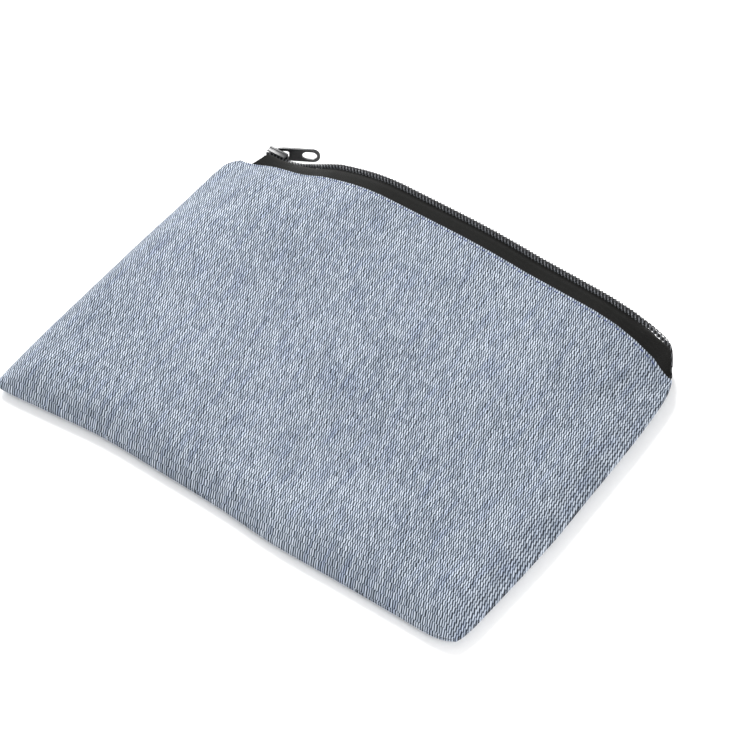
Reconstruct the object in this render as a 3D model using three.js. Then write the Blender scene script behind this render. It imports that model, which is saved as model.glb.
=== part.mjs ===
// A flat zipped make-up pouch lying on its back panel, its zip open and the front lip lifted.
// Millimetres. X runs along the mouth (the slider rests at the -X end), Y from the bottom seam
// to the mouth, Z up. The origin is on the flat underside of the back panel.
import * as THREE from "three";

// ---- Driving dimensions ----
const Y_BOTTOM = -85; // bottom seam
const Y_LIP = 85; // folded fabric edge along the zip
const LEFT_TOP = -115.6, RIGHT_TOP = 117.2; // ends of the lip, inside the rounded corners
// Sewn edges, drawn through [run, offset] points: the sides along Y, the bottom along X.
const LEFT_EDGE = [
  [-90, -121.2], [-82, -122], [-50, -122.6], [0, -121.8], [45, -121], [72, -120.7], [79, -119.5], [85, LEFT_TOP],
];
const RIGHT_EDGE = [
  [-90, 120.5], [-82, 123], [-70, 124], [-20, 125], [10, 124], [45, 122.7], [68, 121], [78, 119.4], [85, RIGHT_TOP],
];
const BOTTOM_EDGE = [
  [-125, -84.5], [-118, -85.8], [-98, -84.5], [-67, -82.3], [-33, -83.4], [0, -85], [30, -87.8], [64, -88.3],
  [95, -89], [112, -89.4], [119, -88], [125, -84],
];
const CLOTH = 0.9; // one panel, outer face to inner face
const GAP = 0.3; // clearance between neighbouring pieces
const SEAM_Z = 4.5, SEAM_Z_LIP = 6; // height of the side seam at the bottom and at the lip
const PILLOW = 9; // how far the front panel stands off its seams
const EDGE = 18; // width of the rounded border of both panels
const LIFT = 23.5; // how far the middle of the front lip stands above the closed mouth
// Share of the lift along the lip, as [x, share] points: the rise near the slider and the fall
const RISE = [[-102.2, 0], [-83.2, 0.267], [-65.2, 0.686], [-30, 1]];
const FALL = [[2, 1], [42, 0.895], [78, 0.81], [90, 0.725], [100, 0.565], [109.8, 0.335], [120.2, 0]];
const RISE_SLANT = 0.5, FALL_SLANT = 0.25; // the cloth is ahead of the coil, per mm across the lip
const CORNER_X = -97, CORNER_RISE = 4.4, CORNER_WIDE = 13; // the cloth puffs up beside the slider
const ALLOWANCE = 8.5; // seam allowance turned to the inside
// Size 5 coil zip
const CHAIN_Y = 94, CHAIN_Z = 5.5; // centre line of the closed chain
const TAPE = 0.6, TAPE_HIDDEN = 4; // tape thickness, and how much of it lies under the cloth
const COIL_DEEP = 2.9, COIL_HIGH = 2.1; // one coil row, across the chain and off the tape
const COIL_PITCH = 3.5, COIL_OFF = 0.5; // tooth spacing, and clearance from the tape
const COIL_FROM = -108.5, COIL_TO = 110.5;
const HEAD_GAP = 0.6; // coil heads to the chain's centre plane
const TAPE_FROM = -111.6, TAPE_TO = 113.6;
const OPEN_RISE = 2; // how far the relaxed coil springs up off the line of the lip
const OPEN_TURN = (8 * Math.PI) / 180; // how far the lifted coil is turned down from flat
const SLIDER_X = -103.5, SLIDER_LENGTH = 10, SLIDER_HALF = 4.7, INNER_HALF = 2.6;
const TAB_X = -2.6, TAB_ANGLE = (30 * Math.PI) / 180, TAB_LENGTH = 20, TAB_WIDE = 7.6, TAB_THICK = 1.2;

// ---- Materials ----
const COLOURS = {
  cloth: [0x98a5b8, 0.9, 0], allowance: [0xa9b3c3, 0.95, 0], overlock: [0xd4d8de, 0.8, 0],
  tape: [0x1f2022, 0.9, 0], coil: [0x2a2b2e, 0.4, 0], cord: [0x18181a, 0.9, 0],
  zip_thread: [0x34353a, 0.7, 0], stitch: [0x4a5c86, 0.7, 0], slider: [0x141517, 0.35, 0.6],
};

// ---- Small helpers ----
const clamp01 = (t) => Math.min(1, Math.max(0, t));
const smooth = (t) => clamp01(t) ** 2 * (3 - 2 * clamp01(t));
const mix = (a, b, t) => a + (b - a) * t;
const steps = (a, b, n) => Array.from({ length: n + 1 }, (_, i) => mix(a, b, i / n));
const unsmooth = (w) => 0.5 - Math.sin(Math.asin(1 - 2 * w) / 3); // the inverse of smooth
const segment = (points, x) => {
  const i = points.findIndex(([at]) => x < at);
  return i < 0 ? points.length - 2 : Math.max(0, i - 1);
};
// A soft curve through points, held at its end values outside them.
function through(points, x) {
  const i = segment(points, x), slope = (k) => {
    const [p, q] = [points[Math.max(0, k - 1)], points[Math.min(points.length - 1, k + 1)]];
    return (q[1] - p[1]) / (q[0] - p[0]);
  };
  const [[x0, a], [x1, b]] = [points[i], points[i + 1]], t = clamp01((x - x0) / (x1 - x0)), w = x1 - x0;
  const bend = (t - 1) ** 2 * t * w * slope(i) + t * t * (t - 1) * w * slope(i + 1);
  return mix(a, b, smooth(t)) + bend;
}
// Shares joined by pieces of one smooth step each.
function eased(points, x) {
  const i = segment(points, x), [[x0, a], [x1, b]] = [points[i], points[i + 1]];
  return smooth(mix(unsmooth(a), unsmooth(b), clamp01((x - x0) / (x1 - x0))));
}

// A closed body from rings of points, with its two ends closed by the triangles in caps.
function loft(name, slot, rings, caps) {
  const n = rings[0].length, at = (i, j) => i * n + (j % n), faces = [];
  for (let i = 0; i + 1 < rings.length; i++)
    for (let j = 0; j < n; j++) {
      faces.push([at(i, j), at(i, j + 1), at(i + 1, j + 1)]);
      faces.push([at(i, j), at(i + 1, j + 1), at(i + 1, j)]);
    }
  const last = rings.length - 1;
  for (const [a, b, c] of caps) {
    faces.push([a, c, b]);
    faces.push([at(last, a), at(last, b), at(last, c)]);
  }
  return solid(name, slot, rings.flat(), faces);
}

// A named mesh from points and faces, turned the right way out.
function solid(name, slot, points, faces) {
  const v = points.map((p) => new THREE.Vector3(...p)), cross = new THREE.Vector3();
  const volume = faces.reduce((sum, [a, b, c]) => sum + cross.crossVectors(v[b], v[c]).dot(v[a]), 0);
  const index = faces.flatMap(([a, b, c]) => (volume < 0 ? [a, c, b] : [a, b, c]));
  const g = new THREE.BufferGeometry();
  g.setAttribute("position", new THREE.Float32BufferAttribute(points.flat(), 3));
  g.setIndex(index);
  g.computeVertexNormals();
  const [color, roughness, metalness] = COLOURS[slot];
  const mesh = new THREE.Mesh(g, new THREE.MeshStandardMaterial({ color, roughness, metalness }));
  mesh.name = name;
  return mesh;
}

// End triangles for a ring made of one line of points out and a second line back.
function stripCaps(count) {
  const caps = [];
  for (let j = 0; j + 1 < count; j++) {
    caps.push([j, j + 1, 2 * count - 2 - j], [j, 2 * count - 2 - j, 2 * count - 1 - j]);
  }
  return caps;
}

// A thin body between an upper and a lower surface, one ring per row.
function slab(name, slot, rows, upper, lower) {
  const rings = rows.map((row) => [...upper(row), ...lower(row).reverse()]);
  return loft(name, slot, rings, stripCaps(rings[0].length / 2));
}

// ---- Outline of the pouch ----
const along = (y) => clamp01((y - Y_BOTTOM) / (Y_LIP - Y_BOTTOM));
const leftX = (y) => through(LEFT_EDGE, y);
const rightX = (y) => through(RIGHT_EDGE, y);
const bottomY = (x) => through(BOTTOM_EDGE, x);
const seamZ = (y) => mix(SEAM_Z, SEAM_Z_LIP, along(y));
// Share of the lift at a point of the lip, from 0 at its two ends to 1 in the middle.
const lift = (x, y) => eased(RISE, x + (CHAIN_Y - y) * RISE_SLANT) * eased(FALL, x + (CHAIN_Y - y) * FALL_SLANT);

// ---- Panel surfaces ----
const nearEdge = (d) => (1 - clamp01(d / EDGE)) ** 3; // 1 on a seam, 0 past the border
function offSeams(x, y) {
  const side = (1 - nearEdge(x - leftX(y))) * (1 - nearEdge(rightX(y) - x));
  return side * (1 - nearEdge(y - bottomY(x)));
}
function frontBase(x, y) {
  const v = along(y), u = (x - leftX(y)) / (rightX(y) - leftX(y));
  const arch = 1 - Math.abs(2 * clamp01(u) - 1) ** 3.2;
  const raised = LIFT * v ** 1.4 * mix(arch * offSeams(x, y), lift(x, y), v ** 3);
  return seamZ(y) + GAP / 2 + (1 - v ** 4) * PILLOW * offSeams(x, y) + raised;
}
const puff = (x, y) => CORNER_RISE * Math.exp(-(((x - CORNER_X) / CORNER_WIDE) ** 2)) * smooth((y - 45) / 35);
const frontInner = (x, y) => frontBase(x, y) + puff(x, y) * offSeams(x, y);
const frontOuter = (x, y) => frontInner(x, y) + CLOTH;
function backOuter(x, y) {
  const rest = 1.5 * smooth((y - 70) / 15);
  return mix(seamZ(y) - GAP / 2 - CLOTH, rest, offSeams(x, y));
}
const backInner = (x, y) => backOuter(x, y) + CLOTH;

// Rows across the zip tape and both panels, closer together where the lip rises and falls.
const TAPE_ROWS = [
  TAPE_FROM, -110, -108.5, ...steps(-104, -54, 13), ...steps(-46, -30, 2), -15, ...steps(0, 76, 5), 82,
  ...steps(88, TAPE_TO, 9),
];
const lipShare = (x) => (x - LEFT_TOP) / (RIGHT_TOP - LEFT_TOP);
const ACROSS = [0, 0.008, ...TAPE_ROWS.map(lipShare), 0.994, 1];
const UP = [0, 0.012, 0.035, 0.07, 0.12, ...steps(0.19, 0.91, 9), 0.94, 0.96, 0.975, 0.99, 1];
function panelPoint(u, v, height) {
  const yGuess = mix(Y_BOTTOM, Y_LIP, v);
  const x = mix(leftX(yGuess), rightX(yGuess), u);
  const y = mix(bottomY(x), Y_LIP, v);
  return [mix(leftX(y), rightX(y), u), y, height(mix(leftX(y), rightX(y), u), y)];
}
function panel(name, upper, lower) {
  const line = (height) => (u) => UP.map((v) => panelPoint(u, v, height));
  return slab(name, "cloth", ACROSS, line(upper), line(lower));
}

// ---- Seam allowances, turned to the inside along three sides ----
const SEAMS = {
  left: { rows: steps(-72, 58, 14), point: (s, d) => [leftX(s) + d, s] },
  right: { rows: steps(-72, 58, 14), point: (s, d) => [rightX(s) - d, s] },
  bottom: { rows: steps(-108, 110, 20), point: (s, d) => [s, bottomY(s) + d] },
};
function insideStrip(name, slot, seam, depths, most) {
  const edge = (sign) => (s) =>
    depths.map((d) => {
      const [x, y] = seam.point(s, d), low = backInner(x, y), high = frontInner(x, y);
      const middle = Math.min((low + high) / 2, seamZ(y) + 1.2);
      const half = Math.min(most, (high - low) / 2 - GAP);
      return [x, y, middle + sign * half];
    });
  return slab(name, slot, seam.rows, edge(1), edge(-1));
}
function seamPieces(side) {
  const seam = SEAMS[side];
  return [
    insideStrip(side + "_seam_allowance", "allowance", seam, [2, 3.2, 5, ALLOWANCE], 0.9),
    insideStrip(side + "_overlock", "overlock", seam, [ALLOWANCE + GAP, ALLOWANCE + 1.7], 1.2),
  ];
}

// ---- Zip stringers ----
const endTuck = (x) => smooth((x - TAPE_FROM) / 3) * smooth((TAPE_TO - x) / 11);
function chainPoint(side, x) {
  const y = CHAIN_Y - 8 * smooth((-108.7 - x) / 3.6) - 8 * smooth((x - 109.5) / 7.5);
  const raised = LIFT * lift(x, y) + OPEN_RISE * (1 - Math.sin(turn(side, x)));
  return [y, CHAIN_Z + side * HEAD_GAP + (side > 0 ? raised : 0)];
}
// Turn of the coil: a quarter turn beside the slider, nearly flat where the lip is lifted.
function turn(side, x) {
  if (side < 0) return Math.PI / 2;
  return mix(Math.PI / 2, OPEN_TURN, smooth((x + 96) / 26) * smooth((116 - x) / 30));
}
// A point at s back from the coil head and h off the tape's outer face.
function onStringer(side, x, s, h) {
  const [y, z] = chainPoint(side, x), a = turn(side, x);
  return [x, y - s * Math.cos(a) + h * Math.sin(a), z + side * (s * Math.sin(a) + h * Math.cos(a))];
}
// The tape's outer face from under the cloth to its edge beside the coil heads.
function tapeLine(side, x) {
  const faceZ = (y) => (side > 0 ? frontBase(x, y) - 1.6 * GAP : backInner(x, y) + 1.4 * GAP);
  const hidden = [0, 0.5, 1].map((t) => mix(Y_LIP - TAPE_HIDDEN, Y_LIP, t)).map((y) => [y, faceZ(y)]);
  const tuck = endTuck(x), flat = 1.4 + 1.7 * tuck;
  const a = hidden[2], d = onStringer(side, x, flat, 0).slice(1), e = onStringer(side, x, flat + 1, 0).slice(1);
  const grip = 1 + 1.2 * tuck;
  const b = [a[0] + grip, a[1]], c = [d[0] + (e[0] - d[0]) * grip, d[1] + (e[1] - d[1]) * grip];
  const curve = [0.17, 0.34, 0.5, 0.67, 0.84].map((t) =>
    [0, 1].map((k) => (1 - t) ** 3 * a[k] + 3 * t * (1 - t) ** 2 * b[k] + 3 * t * t * (1 - t) * c[k] + t ** 3 * d[k]),
  );
  return [...hidden, ...curve, d, onStringer(side, x, 0.9, 0).slice(1)];
}
// The same line moved to the tape's inner face.
function offsetLine(line, side) {
  return line.map(([y, z], i) => {
    const [p, q] = [line[Math.max(i - 1, 0)], line[Math.min(i + 1, line.length - 1)]];
    const [ty, tz] = [q[0] - p[0], q[1] - p[1]], size = Math.hypot(ty, tz) || 1;
    return [y + (side * TAPE * tz) / size, z - (side * TAPE * ty) / size];
  });
}
function tape(name, side) {
  const place = (x, line) => line.map(([y, z]) => [x, y, z]);
  const outer = (x) => place(x, tapeLine(side, x));
  const inner = (x) => place(x, offsetLine(tapeLine(side, x), side));
  return slab(name, "tape", TAPE_ROWS, outer, inner);
}
// One coil row: a bar cut into teeth, with a channel for its cord on the tape side.
function coil(name, side) {
  const shape = (tooth) => [
    [tooth ? 0 : 0.5, 0.9], [0.5, tooth ? COIL_HIGH : 1.6], [COIL_DEEP - 0.4, tooth ? COIL_HIGH : 1.6],
    [COIL_DEEP, COIL_OFF], [COIL_DEEP - 0.5, COIL_OFF], [COIL_DEEP - 0.6, 1.3], [0.9, 1.3], [0.8, COIL_OFF],
  ];
  const count = Math.round((COIL_TO - COIL_FROM) / COIL_PITCH), rows = steps(COIL_FROM, COIL_TO, 2 * count);
  const rings = rows.map((x, i) => shape(i % 2).map(([s, h]) => onStringer(side, x, s, h)));
  return loft(name, "coil", rings, [[0, 1, 6], [0, 6, 7], [1, 5, 6], [1, 2, 5], [2, 4, 5], [2, 3, 4]]);
}
// A bar of rectangular section that follows a stringer.
function stringerBar(name, slot, side, x0, x1, s0, s1, h0, h1) {
  const rows = [x0, ...TAPE_ROWS.filter((x) => x > x0 + 0.5 && x < x1 - 0.5), x1];
  const rings = rows.map((x) =>
    [[s0, h0], [s1, h0], [s1, h1], [s0, h1]].map(([s, h]) => onStringer(side, x, s, h)),
  );
  return loft(name, slot, rings, [[0, 1, 2], [0, 2, 3]]);
}
function stringer(word, side) {
  const from = COIL_FROM + 0.4, to = COIL_TO - 0.4;
  return [
    tape(word + "_zip_tape", side),
    coil(word + "_coil", side),
    stringerBar(word + "_coil_cord", "cord", side, from, to, 1.25, 1.95, 0.5, 0.95),
    stringerBar(word + "_coil_stitch", "zip_thread", side, from, to, 1.1, 2.2, COIL_HIGH + GAP, COIL_HIGH + 0.65),
  ];
}

// ---- Slider and pull tab ----
const box = (x0, x1, y0, y1, z0, z1) => [x0, x1, y0, y1, z0, z1];
// Joins axis-aligned boxes that share faces: the outer skin of the cells they fill.
function joinedBoxes(name, slot, boxes, place) {
  const cuts = [0, 2, 4].map((k) => [...new Set(boxes.flatMap((b) => [b[k], b[k + 1]]))].sort((p, q) => p - q));
  const filled = (i, j, k) => {
    if ([i, j, k].some((m, axis) => m < 0 || m >= cuts[axis].length - 1)) return false;
    const c = [i, j, k].map((m, axis) => (cuts[axis][m] + cuts[axis][m + 1]) / 2);
    return boxes.some((b) => c.every((p, axis) => p > b[2 * axis] && p < b[2 * axis + 1]));
  };
  const points = [], seen = new Map(), faces = [];
  const vertex = (i, j, k) => {
    const key = [i, j, k].join();
    if (!seen.has(key)) seen.set(key, points.push(place([cuts[0][i], cuts[1][j], cuts[2][k]])) - 1);
    return seen.get(key);
  };
  const quad = (a, b, c, d) => faces.push([a, b, c], [a, c, d]);
  for (let i = 0; i < cuts[0].length - 1; i++)
    for (let j = 0; j < cuts[1].length - 1; j++)
      for (let k = 0; k < cuts[2].length - 1; k++) {
        if (!filled(i, j, k)) continue;
        const v = (a, b, c) => vertex(i + a, j + b, k + c);
        if (!filled(i - 1, j, k)) quad(v(0, 0, 0), v(0, 0, 1), v(0, 1, 1), v(0, 1, 0));
        if (!filled(i + 1, j, k)) quad(v(1, 0, 0), v(1, 1, 0), v(1, 1, 1), v(1, 0, 1));
        if (!filled(i, j - 1, k)) quad(v(0, 0, 0), v(1, 0, 0), v(1, 0, 1), v(0, 0, 1));
        if (!filled(i, j + 1, k)) quad(v(0, 1, 0), v(0, 1, 1), v(1, 1, 1), v(1, 1, 0));
        if (!filled(i, j, k - 1)) quad(v(0, 0, 0), v(0, 1, 0), v(1, 1, 0), v(1, 0, 0));
        if (!filled(i, j, k + 1)) quad(v(0, 0, 1), v(1, 0, 1), v(1, 1, 1), v(0, 1, 1));
      }
  return solid(name, slot, points, faces);
}
const atSlider = ([x, y, z]) => [SLIDER_X + x, CHAIN_Y + y, CHAIN_Z + z];
function sliderBody() {
  const half = SLIDER_LENGTH / 2, w = SLIDER_HALF;
  return joinedBoxes("slider_body", "slider", [
    box(-half, half, 2.8, 3.9, -w, w), // outer plate
    box(-half, half, 0.5, 2.8, 3.9, w), box(-half, half, 0.5, 2.8, -w, -3.9), // its side flanges
    box(-half, half, -2.1, -1.1, -INNER_HALF, INNER_HALF), // inner plate
    box(2.3, half, -1.1, 2.8, -0.3, 0.3), // post that parts the two coils
    box(-4.9, -3.8, 3.9, 6.2, -0.9, 0.9), box(1.2, 2.4, 3.9, 6.2, -0.9, 0.9), // feet of the bridge
    box(-4.9, 2.4, 6.2, 7.2, -0.9, 0.9), // bridge the pull tab hangs on
  ], atSlider);
}
function pullTab() {
  const t = TAB_THICK / 2, w = TAB_WIDE / 2, arm = w - 0.9;
  const turned = ([s, h, z]) => {
    const c = Math.cos(TAB_ANGLE), n = Math.sin(TAB_ANGLE);
    return atSlider([TAB_X + s * c - h * n, 5.05 + s * n + h * c, z]);
  };
  return joinedBoxes("pull_tab", "slider", [
    box(-t, t, -t, t, -w, w), // bar under the bridge
    box(t, 6.2, -t, t, arm, w), box(t, 6.2, -t, t, -w, -arm), // its two arms
    box(6.2, 12, -t, t, -w, w), // solid middle
    box(12, TAB_LENGTH - 1.5, -t, t, arm, w), box(12, TAB_LENGTH - 1.5, -t, t, -w, -arm),
    box(TAB_LENGTH - 1.5, TAB_LENGTH, -t, t, -w, w), // rounded grip end
  ], turned);
}

// ---- Stitching along the lips ----
function topstitch(name, face, sign) {
  const rows = TAPE_ROWS.filter((x) => x > -111 && x < 113.5);
  const rings = rows.map((x) => [[82.7, 0], [83.3, 0], [83.3, 0.5], [82.7, 0.5]].map(([y, h]) =>
    [x, y, face(x, y) + sign * (GAP + h)]));
  return loft(name, "stitch", rings, [[0, 1, 2], [0, 2, 3]]);
}

const pouch = new THREE.Group();
pouch.name = "makeup_bag";
pouch.add(
  panel("front_panel", frontOuter, frontInner),
  panel("back_panel", backInner, backOuter),
  ...seamPieces("left"), ...seamPieces("right"), ...seamPieces("bottom"),
  ...stringer("front", 1), ...stringer("back", -1),
  sliderBody(), pullTab(),
  topstitch("front_topstitch", frontOuter, 1), topstitch("back_topstitch", backOuter, -1),
);
export default pouch;
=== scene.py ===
# %% [markdown]
# # A zipped make-up pouch, resting open on a table
# The pouch is two panels of blue and white cotton twill, sewn together on three sides, with a
# coil zip along the fourth. Its moving parts come from a CAD model, loaded here as a frame.
# Everything soft is rebuilt around that frame as cloth, tape, nylon loops and thread.

import math

import bpy
import numpy as np
from mathutils import Matrix, Vector


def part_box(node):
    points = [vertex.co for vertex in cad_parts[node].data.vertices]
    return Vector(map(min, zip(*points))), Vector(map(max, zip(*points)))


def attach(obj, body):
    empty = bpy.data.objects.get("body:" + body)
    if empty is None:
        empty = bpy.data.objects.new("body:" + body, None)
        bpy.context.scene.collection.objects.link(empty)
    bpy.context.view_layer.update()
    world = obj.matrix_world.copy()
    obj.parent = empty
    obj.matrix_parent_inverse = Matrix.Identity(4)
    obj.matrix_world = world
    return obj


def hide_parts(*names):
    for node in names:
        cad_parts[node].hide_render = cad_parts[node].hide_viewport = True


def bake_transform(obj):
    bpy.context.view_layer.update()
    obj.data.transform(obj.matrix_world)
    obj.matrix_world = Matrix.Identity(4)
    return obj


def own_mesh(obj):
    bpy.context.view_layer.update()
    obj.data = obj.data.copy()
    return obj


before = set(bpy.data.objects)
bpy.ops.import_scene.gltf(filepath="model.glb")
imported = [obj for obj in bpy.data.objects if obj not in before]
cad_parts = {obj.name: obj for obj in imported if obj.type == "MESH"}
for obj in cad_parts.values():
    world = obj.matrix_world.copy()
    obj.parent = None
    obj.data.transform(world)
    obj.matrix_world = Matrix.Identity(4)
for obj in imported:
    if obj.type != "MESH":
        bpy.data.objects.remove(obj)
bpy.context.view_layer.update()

# %% [markdown]
# ## Sizes of the real pouch
# These are the measures a maker would write on the pattern, in millimetres. X runs along the
# mouth, Y from the bottom seam to the mouth, Z up. They repeat the driving sizes of the CAD
# model, so that each new piece lies exactly where its plain solid does.

# %% Pattern sizes, mm
Y_BOTTOM, Y_LIP = -85.0, 85.0
LEFT_EDGE = [
    (-90, -121.2), (-82, -122), (-50, -122.6), (0, -121.8),
    (45, -121), (72, -120.7), (79, -119.5), (85, -115.6),
]
RIGHT_EDGE = [
    (-90, 120.5), (-82, 123), (-70, 124), (-20, 125),
    (10, 124), (45, 122.7), (68, 121), (78, 119.4), (85, 117.2),
]
BOTTOM_EDGE = [
    (-125, -84.5), (-118, -85.8), (-98, -84.5), (-67, -82.3), (-33, -83.4), (0, -85),
    (30, -87.8), (64, -88.3), (95, -89), (112, -89.4), (119, -88), (125, -84),
]
SEAM_Z, SEAM_Z_LIP = 4.5, 6.0
CLOTH, PILLOW, EDGE, LIFT = 0.9, 9.0, 18.0, 23.5
RISE = [(-102.2, 0), (-83.2, 0.267), (-65.2, 0.686), (-30, 1)]
FALL = [(2, 1), (42, 0.895), (78, 0.81), (90, 0.725), (100, 0.565), (109.8, 0.335), (120.2, 0)]
RISE_SLANT, FALL_SLANT = 0.5, 0.25
PUFF_X, PUFF_RISE, PUFF_WIDE = -97.0, 4.4, 13.0
CHAIN_Y, CHAIN_Z, TAPE = 94.0, 5.5, 0.6
TAPE_FROM, TAPE_TO, COIL_FROM, COIL_TO = -111.6, 115.2, -108.5, 114.6
OPEN_TURN = math.radians(8)
END_DROP = 8.0  # how far the zip turns in towards the cloth at each end
HEM_FROM, STITCH_Y, STITCH_PITCH = 75.5, 83.2, 3.2
FLATTENED = 0.08  # share of the lip's lift that the back stringer follows
SLIDER_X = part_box("slider_body")[0][0] * 1000 + 5.0
TAB_ANGLE = math.radians(30)
print("slider centre at x =", round(SLIDER_X, 2), "mm")

# %% [markdown]
# ## The shape of the cloth
# Cloth has no corners of its own: it hangs between what holds it. Here the seams hold three
# sides, and the raised zip holds the fourth. One function gives the height at any point, so
# that panel, zip tape, stitches and seam allowances all agree where they touch.


# %% Outline and lift
def smooth(t):
    t = np.clip(t, 0, 1)
    return t * t * (3 - 2 * t)


def mix(a, b, t):
    return a + (b - a) * t


def along(y):
    return np.clip((y - Y_BOTTOM) / (Y_LIP - Y_BOTTOM), 0, 1)


def through(points, x):
    """A soft curve through points, held at its end values outside them."""
    at, value = np.array(points, float).T
    slope = np.gradient(value, np.arange(len(at))) / np.gradient(at, np.arange(len(at)))
    x = np.asarray(x, float)
    i = np.clip(np.searchsorted(at, x, side="right") - 1, 0, len(at) - 2)
    width = at[i + 1] - at[i]
    t = np.clip((x - at[i]) / width, 0, 1)
    bend = (t - 1) ** 2 * t * width * slope[i] + t * t * (t - 1) * width * slope[i + 1]
    return mix(value[i], value[i + 1], smooth(t)) + bend


def left_x(y):
    return through(LEFT_EDGE, y)


def right_x(y):
    return through(RIGHT_EDGE, y)


def bottom_y(x):
    return through(BOTTOM_EDGE, x)


def seam_z(y):
    return mix(SEAM_Z, SEAM_Z_LIP, along(y))


def unsmooth(w):
    return 0.5 - np.sin(np.arcsin(1 - 2 * np.asarray(w, float)) / 3)


def eased(points, x):
    """Shares joined by pieces of one smooth step each."""
    at, share = np.array(points, float).T
    return smooth(np.interp(x, at, unsmooth(share)))


def lift(x, y):
    """Share of the lip's lift, 0 at its two ends and 1 in the middle."""
    return eased(RISE, x + (CHAIN_Y - y) * RISE_SLANT) * eased(FALL, x + (CHAIN_Y - y) * FALL_SLANT)


print("lift at x = -90, -60, 0, 100:", lift(np.array([-90, -60, 0, 100.0]), CHAIN_Y).round(2))


# %% Heights of the two panels
def near_edge(d):
    return (1 - np.clip(d / EDGE, 0, 1)) ** 3


def off_seams(x, y):
    side = (1 - near_edge(x - left_x(y))) * (1 - near_edge(right_x(y) - x))
    return side * (1 - near_edge(y - bottom_y(x)))


def front_base(x, y):
    v = along(y)
    u = np.clip((x - left_x(y)) / (right_x(y) - left_x(y)), 0, 1)
    arch = (1 - np.abs(2 * u - 1) ** 3.2) * off_seams(x, y)
    raised = LIFT * v**1.4 * mix(arch, lift(x, y), v**3)
    return seam_z(y) + 0.03 + (1 - v**4) * PILLOW * off_seams(x, y) + raised


def front_inner(x, y):
    puff = PUFF_RISE * np.exp(-(((x - PUFF_X) / PUFF_WIDE) ** 2)) * smooth((y - 45) / 35)
    return front_base(x, y) + puff * off_seams(x, y)


def back_outer(x, y):
    rest = 1.5 * smooth((y - 70) / 15)
    return mix(seam_z(y) - 0.03 - CLOTH, rest, off_seams(x, y))


# %% [markdown]
# ## Puckers and soft folds
# A seam pulls its cloth in a little at every stitch, which leaves short puckers that die out
# within a finger's width. Wider, softer folds run in from the corners. Both are sums of
# sines with fixed phases, because a pattern with nothing random gives the same bag each time.


# %% Surface detail of the cloth
def ripple(s, spacing, phase):
    long_wave = np.sin(2 * np.pi * s / spacing + phase)
    return long_wave + 0.6 * np.sin(2 * np.pi * s / (spacing * 0.61) + 2.1 * phase)


def bump_at(t, centre, width):
    return np.exp(-(((t - centre) / width) ** 2))


def fold(x, y, x0, y0, angle, width, length):
    """A soft ridge that starts at a point and fades along its length."""
    c, s = math.cos(angle), math.sin(angle)
    run, across = (x - x0) * c + (y - y0) * s, -(x - x0) * s + (y - y0) * c
    return np.exp(-((across / width) ** 2)) * smooth(run / 12 + 0.5) * (1 - smooth(run / length))


def cloth_detail(x, y, flat=1.0):
    dl, dr, db = x - left_x(y), right_x(y) - x, y - bottom_y(x)
    out = 0.34 * ripple(y, 17, 0.4) * np.exp(-dl / 8) * smooth(dl / 3)
    out += 0.36 * ripple(y, 14, 1.9) * np.exp(-dr / 9) * smooth(dr / 3)
    out += 0.34 * ripple(x, 19, 0.9) * np.exp(-db / 8) * smooth(db / 3)
    inside = smooth(dl / 25) * smooth(dr / 25) * smooth(db / 25)
    out += flat * inside * (0.55 * np.sin(x / 19 + y / 31) + 0.4 * np.sin(x / 27 - y / 17 + 1))
    out += flat * 1.1 * fold(x, y, 112, -74, 2.35, 6, 75) - flat * 0.8 * fold(x, y, 96, -78, 2.0, 6, 60)
    out += flat * 0.9 * fold(x, y, -106, 70, -0.75, 7, 80) - flat * 0.7 * fold(x, y, -111, 50, -0.5, 6, 60)
    out += flat * 0.8 * fold(x, y, -112, -76, 0.7, 7, 70)
    return out


# %% [markdown]
# ## Colours and materials
# Each material is named for what the real one is. Cloth patterns read the piece's own UV map,
# which holds millimetres on the cloth, so the weave keeps its true size as the cloth bends.


# %% Node helpers
def linear(hex_colour):
    """An sRGB hex value as the linear colour that a shader works in."""
    parts = [int(hex_colour[i : i + 2], 16) / 255 for i in (1, 3, 5)]
    return [c / 12.92 if c <= 0.04045 else ((c + 0.055) / 1.055) ** 2.4 for c in parts] + [1.0]


def add(tree, kind, settings=None, **inputs):
    """Adds one node. Inputs are values or sockets, by the socket's name or as in0, in1 and so on."""
    made = tree.nodes.new(kind)
    for key, value in (settings or {}).items():
        setattr(made, key, value)
    for key, value in inputs.items():
        numbered = key[:2] == "in" and key[2:].isdigit()
        socket = made.inputs[int(key[2:]) if numbered else key.replace("_", " ")]
        if isinstance(value, bpy.types.NodeSocket):
            tree.links.new(value, socket)
        else:
            socket.default_value = value
    return made


def maths(tree, operation, a, b=0.0, c=0.0):
    return add(tree, "ShaderNodeMath", {"operation": operation}, in0=a, in1=b, in2=c).outputs[0]


def ramp(tree, value, stops):
    """A colour ramp from (position, hex) pairs."""
    made = add(tree, "ShaderNodeValToRGB", Fac=value)
    points = made.color_ramp.elements
    while len(points) < len(stops):
        points.new(0.5)
    for point, (position, colour) in zip(points, stops):
        point.position, point.color = position, linear(colour)
    return made.outputs["Color"]


def material(name, roughness, **shader):
    """A new material, its node tree and its shader with fixed values."""
    made = bpy.data.materials.new(name)
    made.use_nodes = True
    principled = made.node_tree.nodes["Principled BSDF"]
    principled.inputs["Roughness"].default_value = roughness
    for key, value in shader.items():
        principled.inputs[key.replace("_", " ")].default_value = value
    return made, made.node_tree, principled


def finish_shader(tree, principled, colour=None, height=None, strength=1.0, depth=0.0002, roughness=None):
    if colour is not None:
        tree.links.new(colour, principled.inputs["Base Color"])
    if roughness is not None:
        tree.links.new(roughness, principled.inputs["Roughness"])
    if height is not None:
        bump = add(tree, "ShaderNodeBump", Strength=strength, Distance=depth, Height=height)
        tree.links.new(bump.outputs["Normal"], principled.inputs["Normal"])


print("white is", linear("#ffffff"))

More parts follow.
